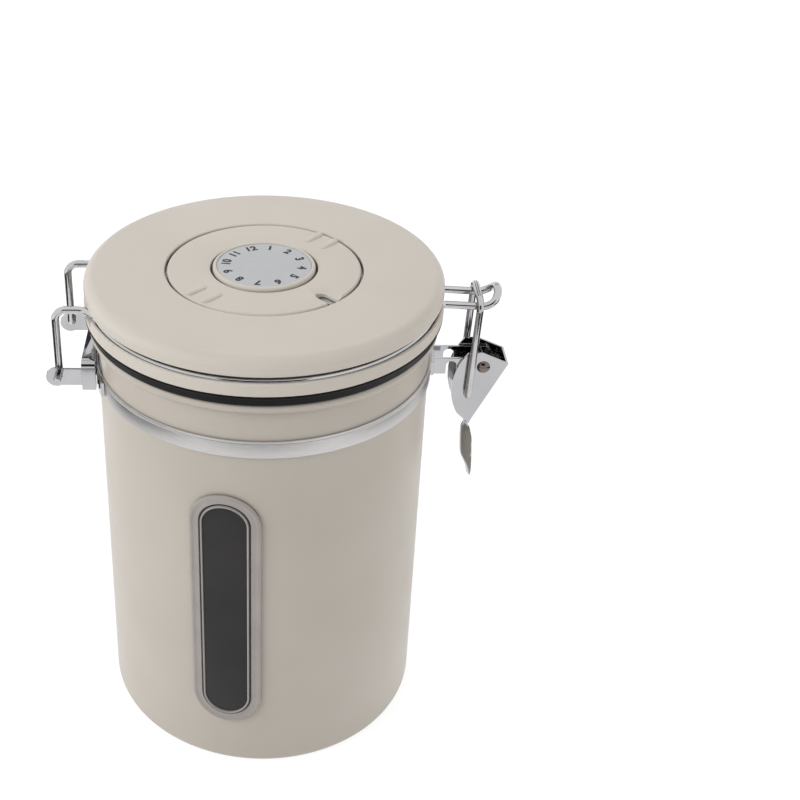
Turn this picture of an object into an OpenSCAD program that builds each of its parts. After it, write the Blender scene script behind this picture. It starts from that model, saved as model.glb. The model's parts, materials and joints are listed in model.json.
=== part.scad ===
// Coffee canister with a swing latch, a date dial and a one-way valve in its lid.
// The origin is on the can's axis at the table, +Z up. The hinge is at -X, the latch at +X
// and the window looks out near -Y.

/* [Can] */
// Outside diameter of the steel can
can_d = 122; // [112:1:132]
// Height of the can from the table to the top of its rolled rim
can_h = 166.6; // [150:0.1:190]
// Thickness of the can's sheet
can_wall = 0.8; // [0.6:0.1:1.2]
// Radius of the rounded bottom corner
corner_r = 4; // [2.5:0.5:6]
// Radius of the bead rolled outward round the mouth
bead_r = 1.7; // [1.3:0.1:2.0]
// Height of the ring pressed into the base to stiffen it
base_groove_h = 0.6; // [0.3:0.1:1.0]
// Middle radius of the stiffening ring in the base
base_groove_r = 47; // [38:1:50]

/* [Window] */
// Width of the window frame's flange
window_w = 25.8; // [24:0.2:32]
// Height of the window frame's flange
window_h = 105.6; // [80:0.2:115]
// Height of the window's centre above the table
window_z = 75.4; // [65:0.1:80]
// Direction that the window faces, from +X
window_turn = -102.6; // [-115:0.1:-80]
// Width of the clear pane that shows inside the frame
pane_w = 14.2; // [12:0.2:15]
// Thickness of the clear pane
pane_t = 1; // [0.8:0.1:1.4]
// Width of the ledge that holds the pane in the frame
pane_ledge = 0.8; // [0.5:0.1:1.2]
// Thickness of the frame's barrel that passes through the can wall
barrel_t = 1.6; // [1.2:0.1:2.0]
// Thickness of the frame's flange in front of the seal
flange_t = 0.9; // [0.7:0.1:1.4]
// Height of the raised lip round the pane over the flange
flange_lip = 0.6; // [0.3:0.1:1.0]
// Thickness of the rubber seal between the frame and the can
seal_t = 0.6; // [0.4:0.1:1.0]
// Thickness of the retaining frame inside the can
retainer_t = 1.8; // [1.4:0.1:2.4]

/* [Neck band and brackets] */
// Height of the steel band round the neck
band_h = 6.7; // [5:0.1:8]
// Thickness of the band
band_t = 0.9; // [0.6:0.1:1.2]
// Distance from the can's rim down to the band's upper edge
band_drop = 15.2; // [13:0.1:18]
// Thickness of the brackets' sheet
sheet_t = 1.1; // [0.9:0.1:1.3]
// How far the brackets' feet reach along the band past their ears
foot_reach = 4.5; // [3:0.1:7]
// Height of the strap that ties the hinge bracket's arms together
strap_h = 11.6; // [9:0.1:13]
// Width of that strap
strap_w = 4.9; // [4:0.1:5.4]
// Distance from the band's outside to the outer edge of the strap
strap_out = 3.2; // [2.8:0.05:4]
// How far the strap's top lies over the middle of the band
strap_rise = 9.4; // [8:0.1:10]
// Height of the arms of both brackets
arm_h = 6.6; // [6:0.1:7.4]
// Distance from the can's wall to the hinge pin
hinge_out = 12.6; // [12:0.1:15]
// Height of the hinge pin over the middle of the band
hinge_rise = 3.2; // [2.5:0.05:3.5]
// How far the hinge pin lies over the middle of the arms
pin_rise = 0.7; // [0:0.1:1]
// Length of the hinge pin that stands out past each arm
pin_out = 3.4; // [0.8:0.1:4]
// Distance between the centres of the two hinge legs
hinge_span = 35.2; // [30:0.2:40]

/* [Latch] */
// Distance from the can's wall to the lever's rivet
lever_out = 20.1; // [19:0.1:22]
// Height of the lever's rivet over the middle of the band
lever_rise = -1.15; // [-2:0.05:0]
// Distance between the outside faces of the latch bracket's ears
ears_w = 10; // [9:0.1:11]
// Thickness of the lever's sheet
lever_t = 0.9; // [0.8:0.05:1.0]
// Diameter of the rivet
rivet_d = 3; // [2.4:0.1:3.4]
// Diameter of the rivet's domed heads
rivet_head_d = 5; // [4.4:0.1:5.6]
// Height of the rivet's domed heads
rivet_head_h = 1.15; // [0.8:0.05:1.2]
// Distance of the link's eye from the rivet
eye_r = 12.7; // [12:0.1:13.5]
// Direction of the link's eye from the rivet
eye_turn = -114.2; // [-118:0.1:-111]
// Length of the finger tab under the lever's cheeks
tab_l = 26.5; // [22:0.5:30]
// Width of the finger tab
tab_w = 12.6; // [11:0.1:13]
// Radius of the finger tab's dish
dish_r = 7.6; // [7:0.1:14]
// Diameter of the link's wire
link_d = 2.6; // [2.2:0.1:2.8]
// Distance from the can's wall to the link's cross bar
link_bar_out = 16.6; // [15.5:0.1:17.5]

/* [Lid] */
// How far the lid's cover reaches out past the can's wall
cover_over = 3.8; // [3.2:0.1:5]
// Height of the cover's rounded edge
cover_h = 6.8; // [6:0.1:9]
// Radius of the cover's rounded edge
cover_edge = 3.8; // [2.5:0.1:4.5]
// Thickness of the moulded walls of the lid
lid_wall = 2; // [1.6:0.1:2.4]
// Height of the lid's lower rim
rim_h = 5; // [4.6:0.1:6.5]
// Height of the open gap between the rim and the cover
rim_gap = 2.3; // [1.8:0.1:3]
// Depth of the plug below the lid's lower rim
plug_h = 7.9; // [6.5:0.1:9]
// Gap between the plug and the can's wall, which lets the lid swing clear
plug_gap = 4.2; // [3.6:0.1:6]
// Thickness of the silicone gasket
gasket_t = 4.1; // [3:0.1:5]
// Diameter of the bail's wire
bail_d = 2.8; // [2.4:0.1:3]
// Radius of the hook's upturned end
hook_r = 5.6; // [5:0.2:7]
// Radius of the bail's bends beside the hinge
bail_bend = 8; // [6:0.5:9]
// Distance between the centres of the hook's two wires
hook_span = 11.6; // [10:0.1:11.8]
// How far the hook lies below the part of the bail in the lid
hook_drop = 2.5; // [2:0.1:2.6]

/* [Dials] */
// Radius of the date ring
ring_r = 34.9; // [33:0.1:37]
// Radius of the opening in the date ring
ring_hole_r = 19.5; // [18.5:0.1:21]
// Thickness of the date ring
ring_t = 2.9; // [2.4:0.1:3.4]
// Gap round the date ring in the lid's well
ring_gap = 0.8; // [0.4:0.1:1.2]
// Width of the slot that shows the date
notch_w = 4.2; // [3.4:0.1:5.5]
// Length of the slot in from the ring's edge
notch_l = 5.6; // [4:0.1:7]
// Direction of the date slot, from +X
notch_turn = -48; // [-60:1:-30]
// Direction of the line through both pairs of finger bars
grips_turn = 45; // [30:1:60]
// Length of each finger bar
grip_l = 8.4; // [6:0.1:9]
// Width of each finger bar
grip_w = 2.8; // [2.2:0.1:3.2]
// Height of each finger bar over the ring
grip_h = 1.4; // [0.8:0.1:1.6]
// Width of the dished lip round the date slot
notch_lip = 2.8; // [1.5:0.1:3]
// Radius of the month dial
dial_r = 18.4; // [17:0.1:18.8]
// How far the month dial stands over the lid
dial_proud = 1.2; // [0.8:0.1:2]
// Width of the month dial's rounded rim
dial_rim = 1.3; // [1:0.1:2]
// Thickness of the printed discs
disc_t = 0.3; // [0.2:0.05:0.4]

/* [Valve] */
// Outside radius of the valve's seat
valve_r = 9; // [8:0.1:11]
// How far the valve's disc can lift
valve_lift = 0.6; // [0.4:0.1:0.8]
// Number of vent holes in the seat
vents = 6; // [4:1:8]

/* [Hidden] */
$fn = 96;

// Clearances: parts of one body that are fitted together, a turning fit, and a free gap
fit = 0.05;
turn_fit = 0.06;
free = 0.3;
ear_gap = 0.2;
// How far two shapes of one piece run into each other
lap = 0.1;
// How far a cutting shape reaches past what it cuts
over = 1;
far = 200;

paint = [0.80, 0.77, 0.73];
steel = [0.78, 0.78, 0.80];
rubber = [0.12, 0.12, 0.12];
smoke = [0.25, 0.24, 0.24];
silver = [0.75, 0.75, 0.76];

// Heights and radii of the can and its band
can_r = can_d / 2;
can_in = can_r - can_wall;
bead_mid = can_in + bead_r;
band_z1 = can_h - band_drop;
band_z0 = band_z1 - band_h;
band_mid = (band_z0 + band_z1) / 2;
band_in = can_r + fit;
band_out = band_in + band_t;
foot_in = band_out + fit;
foot_out = foot_in + sheet_t;
foot_inset = 0.6;

// Sizes of the window's nested outlines
bezel_w = window_w - pane_w;
pane_h = window_h - bezel_w;
barrel_w = pane_w + 2 * (pane_ledge + barrel_t);
barrel_h = pane_h + 2 * (pane_ledge + barrel_t);
barrel_depth = 3.2;
seal_inset = 0.9;

// Heights of the lid, from the gasket up
gasket_z = can_h + 0.2;
rim_z = gasket_z + gasket_t;
channel_z = rim_z + rim_h - 2;
cover_z = rim_z + rim_h + rim_gap;
lid_z = cover_z + cover_h;
plug_z = rim_z - plug_h;
cover_r = can_r + cover_over;
plug_r = can_in - plug_gap;
rim_r = cover_r + 0.2;
rim_lip = 1.1;
// The bail lies in a channel between the rim's lip and the upstand that the cover snaps into
bail_r = bail_d / 2;
channel_gap = 0.2;
ring_mid = rim_r - rim_lip - channel_gap - bail_r;
channel_in = ring_mid - bail_r - channel_gap;
bail_z = channel_z + channel_gap + bail_r;
snap_gap = 0.2;
upstand_t = 2;

// The well in the cover, the date ring in it and the month dial over that
well_r = ring_r + ring_gap;
ring_z = lid_z - ring_t;
scale_z = ring_z - free - disc_t;
well_floor = 1.6;
well_under = scale_z - well_floor;
hub_r = ring_hole_r - 2.5;
hub_z = ring_z + 1.2;
dial_z = hub_z + free;
dial_top = lid_z + dial_proud;
dial_face = dial_top - 0.8;
label_r = dial_r - dial_rim - 0.1;
shaft_r = 4;
washer_r = 6.2;
washer_t = 0.8;
washer_z = well_under - free - washer_t;
screw_r = 1.5;
screw_head_r = 3.4;
screw_head_h = 2;

// The hinge and the latch
hinge_x = -(can_r + hinge_out);
hinge_z = band_mid + hinge_rise;
leg_y = hinge_span / 2;
hinge_ear_y = leg_y + bail_r + ear_gap;
hinge_ear_out = hinge_ear_y + sheet_t;
arm_mid = hinge_z - pin_rise;
strap_x = -(band_out + strap_out);
strap_z1 = band_mid + strap_rise;
strap_z0 = strap_z1 - strap_h;
strap_y = hinge_ear_out + sheet_t - lap;
lever_x = can_r + lever_out;
lever_z = band_mid + lever_rise;
ear_out = ears_w / 2;
ear_in = ear_out - sheet_t;
cheek_in = ear_out + free;
cheek_out = cheek_in + lever_t;
head_in = cheek_out + fit;
link_r = link_d / 2;
link_y = head_in + rivet_head_h + 0.15 + link_r;
hook_y = hook_span / 2;
hook_z = bail_z - hook_drop;
eye_x = lever_x + eye_r * cos(eye_turn);
eye_z = lever_z + eye_r * sin(eye_turn);
bar_x = can_r + link_bar_out;
hook_fall = 0.7;
bar_z = hook_z - hook_fall + bail_r + link_r + free;
plate_t = 2;
pocket_z = hook_z - bail_r - channel_gap;
link_l = norm([bar_x - eye_x, bar_z - eye_z]);
link_lean = atan2(bar_x - eye_x, bar_z - eye_z);

// Flat outline with two straight sides and round ends, standing on end
module stadium(w, h) {
    square([w, h - w], center = true);
    for (s = [-1, 1]) translate([0, s * (h - w) / 2]) circle(d = w);
}

// Flat rectangle from one corner to the other with rounded corners
module soft_rect(x0, x1, z0, z1, r) {
    translate([x0 + r, z0]) square([x1 - x0 - 2 * r, z1 - z0]);
    translate([x0, z0 + r]) square([x1 - x0, z1 - z0 - 2 * r]);
    for (x = [x0 + r, x1 - r], z = [z0 + r, z1 - r]) translate([x, z]) circle(r = r, $fn = 32);
}

// Upright tube between two radii and two heights
module shell(r0, r1, z0, z1) {
    translate([0, 0, z0]) difference() {
        cylinder(r = r1, h = z1 - z0);
        translate([0, 0, -over]) cylinder(r = r0, h = z1 - z0 + 2 * over);
    }
}

// Prism of the window's outline, pointing out of the can
module window_prism(w, h) {
    rotate([0, 0, window_turn]) translate([0, 0, window_z]) rotate([90, 0, 90])
        linear_extrude(can_r + 2 * over + far / 10) stadium(w, h);
}

// Layer of the window between two radii
module window_layer(r0, r1, w, h) {
    intersection() {
        shell(r0, r1, window_z - h / 2 - over, window_z + h / 2 + over);
        window_prism(w, h);
    }
}

// Wire between two points
module rod(p, q, r) {
    d = q - p;
    translate(p) rotate([0, acos(d[2] / norm(d)), atan2(d[1], d[0])]) cylinder(r = r, h = norm(d), $fn = 32);
}

// Extrusion along Y of a flat outline drawn in X and Z
module plate_y(y0, y1) {
    translate([0, y1, 0]) rotate([90, 0, 0]) linear_extrude(y1 - y0) children();
}

// Deep-drawn steel can: base, rounded corner, wall, rolled bead and the window's cut-out
module can_body() {
    color(paint) difference() {
        union() {
            rotate_extrude() difference() {
                union() {
                    translate([0, 0]) square([can_r - corner_r, can_h / 2]);
                    translate([0, corner_r]) square([can_r, can_h - corner_r - bead_r]);
                    translate([can_r - corner_r, corner_r]) circle(r = corner_r);
                }
                translate([-over, can_wall]) square([can_in - corner_r + over, can_h]);
                translate([-over, corner_r]) square([can_in + over, can_h]);
                translate([can_r - corner_r, corner_r]) circle(r = corner_r - can_wall);
                translate([-far, -far]) square([far, 2 * far]);
            }
            translate([0, 0, can_h - bead_r]) rotate_extrude() translate([bead_mid, 0]) circle(r = bead_r, $fn = 32);
            translate([0, 0, can_wall - fit]) shell(base_groove_r - 2, base_groove_r + 2, 0, base_groove_h);
        }
        translate([0, 0, -over]) shell(base_groove_r - 1.2, base_groove_r + 1.2, 0, base_groove_h + over);
        window_prism(barrel_w + 2 * fit, barrel_h + 2 * fit);
    }
}

// Moulded window frame: flange on the seal, raised lip, and a barrel through the wall with a ledge for the pane
module window_bezel() {
    flange_in = can_r + seal_t;
    flange_out = flange_in + flange_t;
    pane_out = flange_in + flange_t - 0.4;
    color(silver) difference() {
        union() {
            window_layer(flange_in, flange_out, window_w, window_h);
            window_layer(flange_in, flange_out + flange_lip, barrel_w + 2, barrel_h + 2);
            window_layer(can_in - barrel_depth, flange_out, barrel_w, barrel_h);
        }
        window_layer(can_in - barrel_depth - over, can_r + far, pane_w, pane_h);
        window_layer(pane_out - pane_t, can_r + far, pane_w + 2 * pane_ledge, pane_h + 2 * pane_ledge);
    }
}

// Clear pane that rests on the frame's ledge
module window_pane() {
    pane_out = can_r + seal_t + flange_t - 0.4;
    color(smoke) window_layer(pane_out - pane_t + fit, pane_out, pane_w + 2 * pane_ledge - 2 * fit,
        pane_h + 2 * pane_ledge - 2 * fit);
}

// Rubber seal under the window's flange
module window_seal() {
    color(rubber) difference() {
        window_layer(can_r + fit, can_r + seal_t - fit, window_w - 2 * seal_inset, window_h - 2 * seal_inset);
        window_prism(barrel_w + 0.4, barrel_h + 0.4);
    }
}

// Frame inside the can that clamps the window, with the snap tabs that hold it on the barrel
module window_retainer() {
    tab_out = can_in - retainer_t - fit;
    color(silver) difference() {
        window_layer(tab_out, can_in - fit, window_w - 2 * seal_inset, window_h - 2 * seal_inset);
        window_prism(barrel_w + 2 * fit, barrel_h + 2 * fit);
    }
    color(silver) for (z = [-1, 1]) intersection() {
        difference() {
            window_layer(tab_out - 1.2, tab_out + 0.3, barrel_w + 3, barrel_h + 3);
            window_prism(barrel_w + 2 * fit, barrel_h + 2 * fit);
        }
        translate([0, 0, window_z + z * (pane_h / 2 - 18)]) cube([far, far, 10], center = true);
    }
}

// Steel band round the neck with rolled edges
module neck_band() {
    color(steel) rotate_extrude() soft_rect(band_in, band_out, band_z0, band_z1, band_t / 2 - 0.05);
}

// Curved foot of a bracket, which lies on the band
module bracket_foot(side, half) {
    intersection() {
        shell(foot_in, foot_out, band_z0 + foot_inset, band_z1 - foot_inset);
        translate([side > 0 ? 0 : -far, -half, 0]) cube([far, 2 * half, far]);
    }
}

// Strap of the hinge bracket: a flat top that bends down outside both arms
module hinge_strap() {
    bend = 2.8;
    rotate([90, 0, 90]) translate([0, 0, strap_x]) linear_extrude(strap_w) difference() {
        soft_rect(-strap_y, strap_y, strap_z0 - strap_h, strap_z1, bend);
        soft_rect(sheet_t - strap_y, strap_y - sheet_t, strap_z0 - strap_h, strap_z1 - sheet_t, bend - sheet_t);
        translate([-far, strap_z0 - far]) square([2 * far, far]);
    }
}

// Folded hinge bracket: foot and riser on the band, the strap, and two arms with the pin's holes
module hinge_bracket() {
    riser_half = 12;
    ear_r = arm_h / 2 + 0.4;
    ear_on = 0.8;
    color(steel) difference() {
        union() {
            for (s = [-1, 1]) plate_y(s > 0 ? hinge_ear_y : -hinge_ear_out, s > 0 ? hinge_ear_out : -hinge_ear_y) {
                translate([hinge_x - ear_on, arm_mid - arm_h / 2]) square([strap_x + strap_w - hinge_x + ear_on, arm_h]);
                translate([hinge_x - ear_on, arm_mid]) circle(r = ear_r);
            }
            hinge_strap();
            bracket_foot(-1, hinge_ear_out + foot_reach);
            intersection() {
                shell(foot_in, foot_out, band_z0 + foot_inset, strap_z1);
                translate([-far, -riser_half, 0]) cube([far, 2 * riser_half, far]);
            }
        }
        translate([0, 0, -over]) cylinder(r = foot_in, h = can_h);
        translate([hinge_x, 0, hinge_z]) rotate([90, 0, 0])
            cylinder(r = bail_r + turn_fit, h = far, center = true, $fn = 48);
    }
}

// Latch bracket: foot on the band and two ears with the rivet's holes and an arched cut-out
module latch_bracket() {
    ear_z0 = lever_z - arm_h / 2 - 0.4;
    ear_tip = lever_x + 3.8;
    arch_x = can_r + 8.4;
    arch_r = 2;
    arch_top = ear_z0 + arm_h - 1.2 - arch_r;
    tip_cut = 2;
    color(steel) difference() {
        union() {
            for (s = [-1, 1]) plate_y(s > 0 ? ear_in : -ear_out, s > 0 ? ear_out : -ear_in) difference() {
                translate([can_r, ear_z0]) square([ear_tip - can_r, arm_h]);
                translate([arch_x, arch_top]) circle(r = arch_r);
                translate([arch_x - arch_r, ear_z0 - over]) square([2 * arch_r, arch_top - ear_z0 + over]);
                for (z = [0, arm_h]) translate([ear_tip, ear_z0 + z]) rotate(45) square(tip_cut, center = true);
            }
            bracket_foot(1, ear_out + foot_reach);
        }
        translate([0, 0, -over]) cylinder(r = foot_in, h = can_h);
        translate([lever_x, 0, lever_z]) rotate([90, 0, 0])
            cylinder(d = rivet_d + 0.02, h = far, center = true, $fn = 48);
    }
}

// Rivet with two domed heads that carries the lever
module latch_rivet() {
    dome_r = (pow(rivet_head_d / 2, 2) + pow(rivet_head_h, 2)) / (2 * rivet_head_h);
    color(steel) translate([lever_x, 0, lever_z]) rotate([90, 0, 0]) {
        cylinder(d = rivet_d, h = 2 * head_in + 0.2, center = true, $fn = 48);
        for (s = [0, 1]) mirror([0, 0, s]) translate([0, 0, head_in]) intersection() {
            translate([0, 0, rivet_head_h - dome_r]) sphere(r = dome_r, $fn = 64);
            cylinder(d = rivet_head_d, h = rivet_head_h, $fn = 48);
        }
    }
}

// Outline of the lever's cheek, from the rivet's centre: an arc on the can's side and a straight outer edge
cheek_top = 5.7;
cheek_knee = -0.6;
cheek_nose = [9.1, 1.4];
cheek_foot = [-2.9, -23.1];
cheek_base = -25.4;
cheek_arc = 23.3;
cheek_arc_mid = [12.1, -9.2];
module cheek_outline() {
    intersection() {
        translate(cheek_arc_mid) circle(r = cheek_arc, $fn = 128);
        polygon([[-over - 14, cheek_top], [cheek_knee, cheek_top], cheek_nose, cheek_foot,
            [cheek_foot[0] - 0.9, cheek_base], [-over - 14, cheek_base]]);
    }
}

// Half outline of the finger tab from its rounded lower end up to its neck
tab_z0 = cheek_base - tab_l;
tab_z1 = cheek_foot[1] - 2.4;
tab_round = 8;
tab_flare = 4;
neck_half = 3.2;
tab_side = concat([for (a = [10 : 10 : 90]) [tab_w / 2 * sin(a), tab_z0 + tab_round * (1 - cos(a))]],
    [for (i = [0 : 6]) [neck_half + (tab_w / 2 - neck_half) * ease(1 - i / 6), tab_z1 - tab_flare * (1 - i / 6)]]);

// Pressed lever: two cheeks, the web and neck on the outer side, and the dished finger tab
module latch_lever() {
    web_d = cheek_nose - cheek_foot;
    web_n = [-web_d[1], web_d[0]] / norm(web_d) * lever_t;
    tab_x = cheek_foot[0] - 1.2;
    neck_z = tab_z1 - 0.6;
    neck_top = cheek_foot + web_d * lap + web_n * lap;
    color(steel) translate([lever_x, 0, lever_z]) difference() {
        union() {
            for (s = [-1, 1]) plate_y(s > 0 ? cheek_in : -cheek_out, s > 0 ? cheek_out : -cheek_in) cheek_outline();
            plate_y(-cheek_out, cheek_out)
                polygon([cheek_nose, cheek_foot, cheek_foot + web_n, cheek_nose + web_n]);
            plate_y(lap - neck_half, neck_half - lap) polygon([neck_top, neck_top + web_n * (1 - 2 * lap),
                [tab_x - lever_t + lap, neck_z], [tab_x + lap, neck_z]]);
            intersection() {
                translate([tab_x + dish_r - lever_t, 0, 0]) shell(dish_r - lever_t, dish_r, tab_z0 - over, tab_z1 + over);
                rotate([90, 0, 90]) translate([0, 0, tab_x - 2 * lever_t]) linear_extrude(dish_r)
                    polygon(concat(tab_side, [for (i = [len(tab_side) - 1 : -1 : 0]) [-tab_side[i][0], tab_side[i][1]]]));
            }
        }
        rotate([90, 0, 0]) cylinder(d = rivet_d + 2 * turn_fit, h = far, center = true, $fn = 48);
        translate([eye_x - lever_x, 0, eye_z - lever_z]) rotate([90, 0, 0])
            cylinder(r = link_r + turn_fit, h = far, center = true, $fn = 48);
    }
}

// Wire link: two legs hooked through the lever's eyes, and the bar that lies across the hook
module latch_link() {
    top_r = 3.6;
    foot_r = 2;
    end_y = cheek_in - 0.8;
    color(steel) translate([eye_x, 0, eye_z]) rotate([0, link_lean, 0]) {
        rod([0, -link_y + top_r, link_l], [0, link_y - top_r, link_l], link_r);
        for (s = [0, 1]) mirror([0, s, 0]) {
            rod([0, link_y, foot_r], [0, link_y, link_l - top_r], link_r);
            translate([0, link_y - top_r, link_l - top_r]) rotate([0, -90, 0]) rotate_extrude(angle = 90)
                translate([top_r, 0]) circle(r = link_r, $fn = 32);
            translate([0, link_y - foot_r, foot_r]) rotate([0, -90, 0]) rotate([0, 0, 90]) rotate_extrude(angle = 90)
                translate([foot_r, 0]) circle(r = link_r, $fn = 32);
            rod([0, end_y, 0], [0, link_y - foot_r, 0], link_r);
        }
    }
}

// Moulded cover: rounded edge, snap skirt, the well for the dials and the boss in its middle
module lid_cover() {
    edge = 0.8;
    skirt_r = channel_in - upstand_t - snap_gap;
    skirt_z = rim_z + plate_t + fit;
    color(paint) difference() {
        rotate_extrude() {
            difference() {
                union() {
                    translate([0, cover_z + edge]) square([cover_r, cover_h - edge - cover_edge]);
                    translate([0, cover_z]) square([cover_r - edge, cover_h / 2]);
                    translate([cover_r - edge, cover_z + edge]) circle(r = edge, $fn = 32);
                    translate([0, cover_z + cover_h / 2]) square([cover_r - cover_edge, cover_h / 2]);
                    translate([cover_r - cover_edge, lid_z - cover_edge]) circle(r = cover_edge);
                }
                translate([0, cover_z - over]) square([cover_r - lid_wall, cover_h - cover_edge + over]);
                translate([0, cover_z]) square([cover_r - cover_edge, cover_h - lid_wall]);
                translate([cover_r - cover_edge, lid_z - cover_edge]) circle(r = cover_edge - lid_wall, $fn = 48);
                translate([0, cover_z]) square([well_r, far]);
                translate([-far, 0]) square([far, far * 2]);
            }
            translate([well_r, well_under]) square([lid_wall, lid_z - well_under - over]);
            translate([0, well_under]) square([well_r + lid_wall, well_floor]);
            translate([0, well_under]) square([hub_r, hub_z - well_under]);
            translate([skirt_r - lid_wall, skirt_z]) square([lid_wall, lid_z - lid_wall - skirt_z + fit]);
        }
        translate([0, 0, well_under - over]) {
            cylinder(r = shaft_r + turn_fit, h = cover_h, $fn = 64);
            shell(shaft_r + 3.5, hub_r - lid_wall, -over, hub_z - lid_wall - well_under + over);
        }
        for (i = [0 : 3]) rotate([0, 0, 45 + 90 * i]) translate([hub_r - lid_wall - 3, 0, 0])
            cylinder(r = 0.8, h = far * 2, $fn = 24);
    }
}

// Upright wedge round +X that reaches an angle to each side
module wedge(a) {
    linear_extrude(2 * far) polygon([[0, 0], [far, -far * tan(a)], [far, far * tan(a)]]);
}

// Moulded base of the lid: plug, rim with the bail's channel and notches, and the upstand for the cover
module lid_base() {
    edge = 1.2;
    rim_edge = 0.6;
    step = 0.1;
    leg_a = asin((leg_y - bail_r - 0.5) / rim_r);
    color(paint) difference() {
        union() {
            rotate_extrude() difference() {
                union() {
                    translate([0, plug_z]) square([plug_r - edge, plug_h]);
                    translate([0, plug_z + edge]) square([plug_r, plug_h - edge + 1]);
                    translate([plug_r - edge, plug_z + edge]) circle(r = edge, $fn = 32);
                    soft_rect(plug_r / 2, rim_r, rim_z, rim_z + rim_h, rim_edge);
                    translate([channel_in - upstand_t, rim_z + 1]) square([upstand_t, cover_z - rim_z + 0.8]);
                }
                translate([-far, rim_z + plate_t]) square([channel_in - upstand_t + far, far]);
                translate([-far, plug_z + lid_wall]) square([plug_r - lid_wall + far, far]);
                translate([channel_in, channel_z]) square([rim_r - rim_lip - channel_in, far]);
                translate([-far, plug_z - over]) square([far, far]);
            }
        }
        intersection() {
            shell(channel_in - step, rim_r + over, pocket_z, rim_z + rim_h + over);
            union() {
                for (s = [0, 1]) mirror([0, s, 0]) translate([0, 0, channel_z - step]) linear_extrude(far)
                    polygon([[0, 0], [-far, far * tan(leg_a)], [-far, far * tan(181 - back_a)]]);
                wedge(hook_a + 1);
            }
        }
        intersection() {
            shell(channel_in - step, rim_r - rim_lip + step, pocket_z, rim_z + rim_h + over);
            wedge(drop_end);
        }
        translate([0, 0, plug_z - over]) cylinder(r = valve_r + fit, h = lid_wall + 2 * over, $fn = 64);
    }
}

// Silicone gasket round the plug, on which the can's rolled rim presses
module lid_gasket() {
    bottom_r = rim_r - 1;
    color(rubber) rotate_extrude() polygon([[plug_r + fit, gasket_z + 0.4], [plug_r + fit + 0.4, gasket_z],
        [bottom_r - 0.4, gasket_z], [bottom_r, gasket_z + 0.4], [bottom_r + 0.6, rim_z - 0.5],
        [bottom_r + 0.2, rim_z - fit], [plug_r + fit, rim_z - fit]]);
}

// Path of the bail's wire on one side, from the middle of the hook's end round the lid to the hinge pin
hook_bend = 4;
leg_bend = 4;
pin_bend = 1.5;
leg_lift = 1.2;
hook_turn = 80;
hook_x = sqrt(pow(ring_mid + hook_bend, 2) - pow(hook_y + hook_bend, 2));
hook_a = atan2(hook_y + hook_bend, hook_x);
drop_end = hook_a + 27;
arc_x = bar_x + 1;
hook_flat = arc_x - hook_x;
hook_len = hook_flat + hook_r * hook_turn * PI / 180;
back_x = -sqrt(pow(ring_mid + bail_bend, 2) - pow(leg_y + bail_bend, 2));
back_a = atan2(leg_y + bail_bend, back_x);

function unit(v) = v / norm(v);
function ease(t) = t * t * (3 - 2 * t);
// Point of the hook's side view at a length along it
function hook_at(s) = s < hook_flat ? [hook_x + s, hook_z - hook_fall * s / hook_flat]
    : let(a = (s - hook_flat) / hook_r * 180 / PI)
        [arc_x + hook_r * sin(a), hook_z - hook_fall + hook_r * (1 - cos(a))];
function hook_point(s, y) = let(p = hook_at(s)) [p[0], y, p[1]];
// Height of the wire in the lid, which falls toward the hook
function ring_height(a) = a > drop_end ? bail_z
    : hook_z + hook_drop * ease((a - hook_a / 2) / (drop_end - hook_a / 2));
side_path = concat(
    [for (a = [0 : 15 : 90]) hook_point(hook_len - hook_y * (1 - cos(a)), hook_y * sin(a))],
    [for (i = [1 : 9]) hook_point((hook_len - hook_y) + (hook_flat - hook_len + hook_y) * i / 9, hook_y)],
    [for (i = [1 : 3]) hook_point(hook_flat * (1 - i / 4), hook_y)],
    [for (i = [0 : 5]) let(a = -90 - i * (90 - hook_a) / 5) [hook_x + hook_bend * cos(a),
        hook_y + hook_bend + hook_bend * sin(a), ring_height(hook_a / 2 * (1 + i / 5))]],
    [for (i = [1 : 34]) let(a = hook_a + (back_a - hook_a) * i / 34)
        [ring_mid * cos(a), ring_mid * sin(a), ring_height(a)]],
    [for (i = [1 : 6]) let(a = back_a - 180 - i * (back_a - 90) / 6)
        [back_x + bail_bend * cos(a), leg_y + bail_bend + bail_bend * sin(a), bail_z + leg_lift * i / 6]],
    [for (i = [0 : 6]) let(a = 90 + i * 15) [hinge_x + leg_bend + leg_bend * cos(a), leg_y,
        bail_z + leg_lift - leg_bend + leg_bend * sin(a)]],
    [for (i = [0 : 6]) let(a = 180 + i * 15) [hinge_x, leg_y + pin_bend + pin_bend * cos(a),
        hinge_z + pin_bend + pin_bend * sin(a)]]);
bail_path = concat([for (i = [len(side_path) - 1 : -1 : 1]) [side_path[i][0], -side_path[i][1], side_path[i][2]]],
    side_path);

// Round wire swept along a path
module wire(path, r) {
    sides = 12;
    n = len(path);
    t = [for (i = [0 : n - 1]) unit(path[min(i + 1, n - 1)] - path[max(i - 1, 0)])];
    u = [for (i = 0, v = [1, 0, 0]; i < n; v = i + 1 < n ? v - (v * t[i + 1]) * t[i + 1] : v, i = i + 1) unit(v)];
    polyhedron(points = [for (i = [0 : n - 1], k = [0 : sides - 1]) let(a = k * 360 / sides)
        path[i] + r * (u[i] * cos(a) + cross(t[i], u[i]) * sin(a))],
        faces = concat([[for (k = [0 : sides - 1]) k]],
            [for (i = [0 : n - 2], k = [0 : sides - 1]) let(a = i * sides + k, b = i * sides + (k + 1) % sides)
                each [[a, b + sides, b], [a, a + sides, b + sides]]],
            [[for (k = [0 : sides - 1]) n * sides - 1 - k]]));
}

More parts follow.
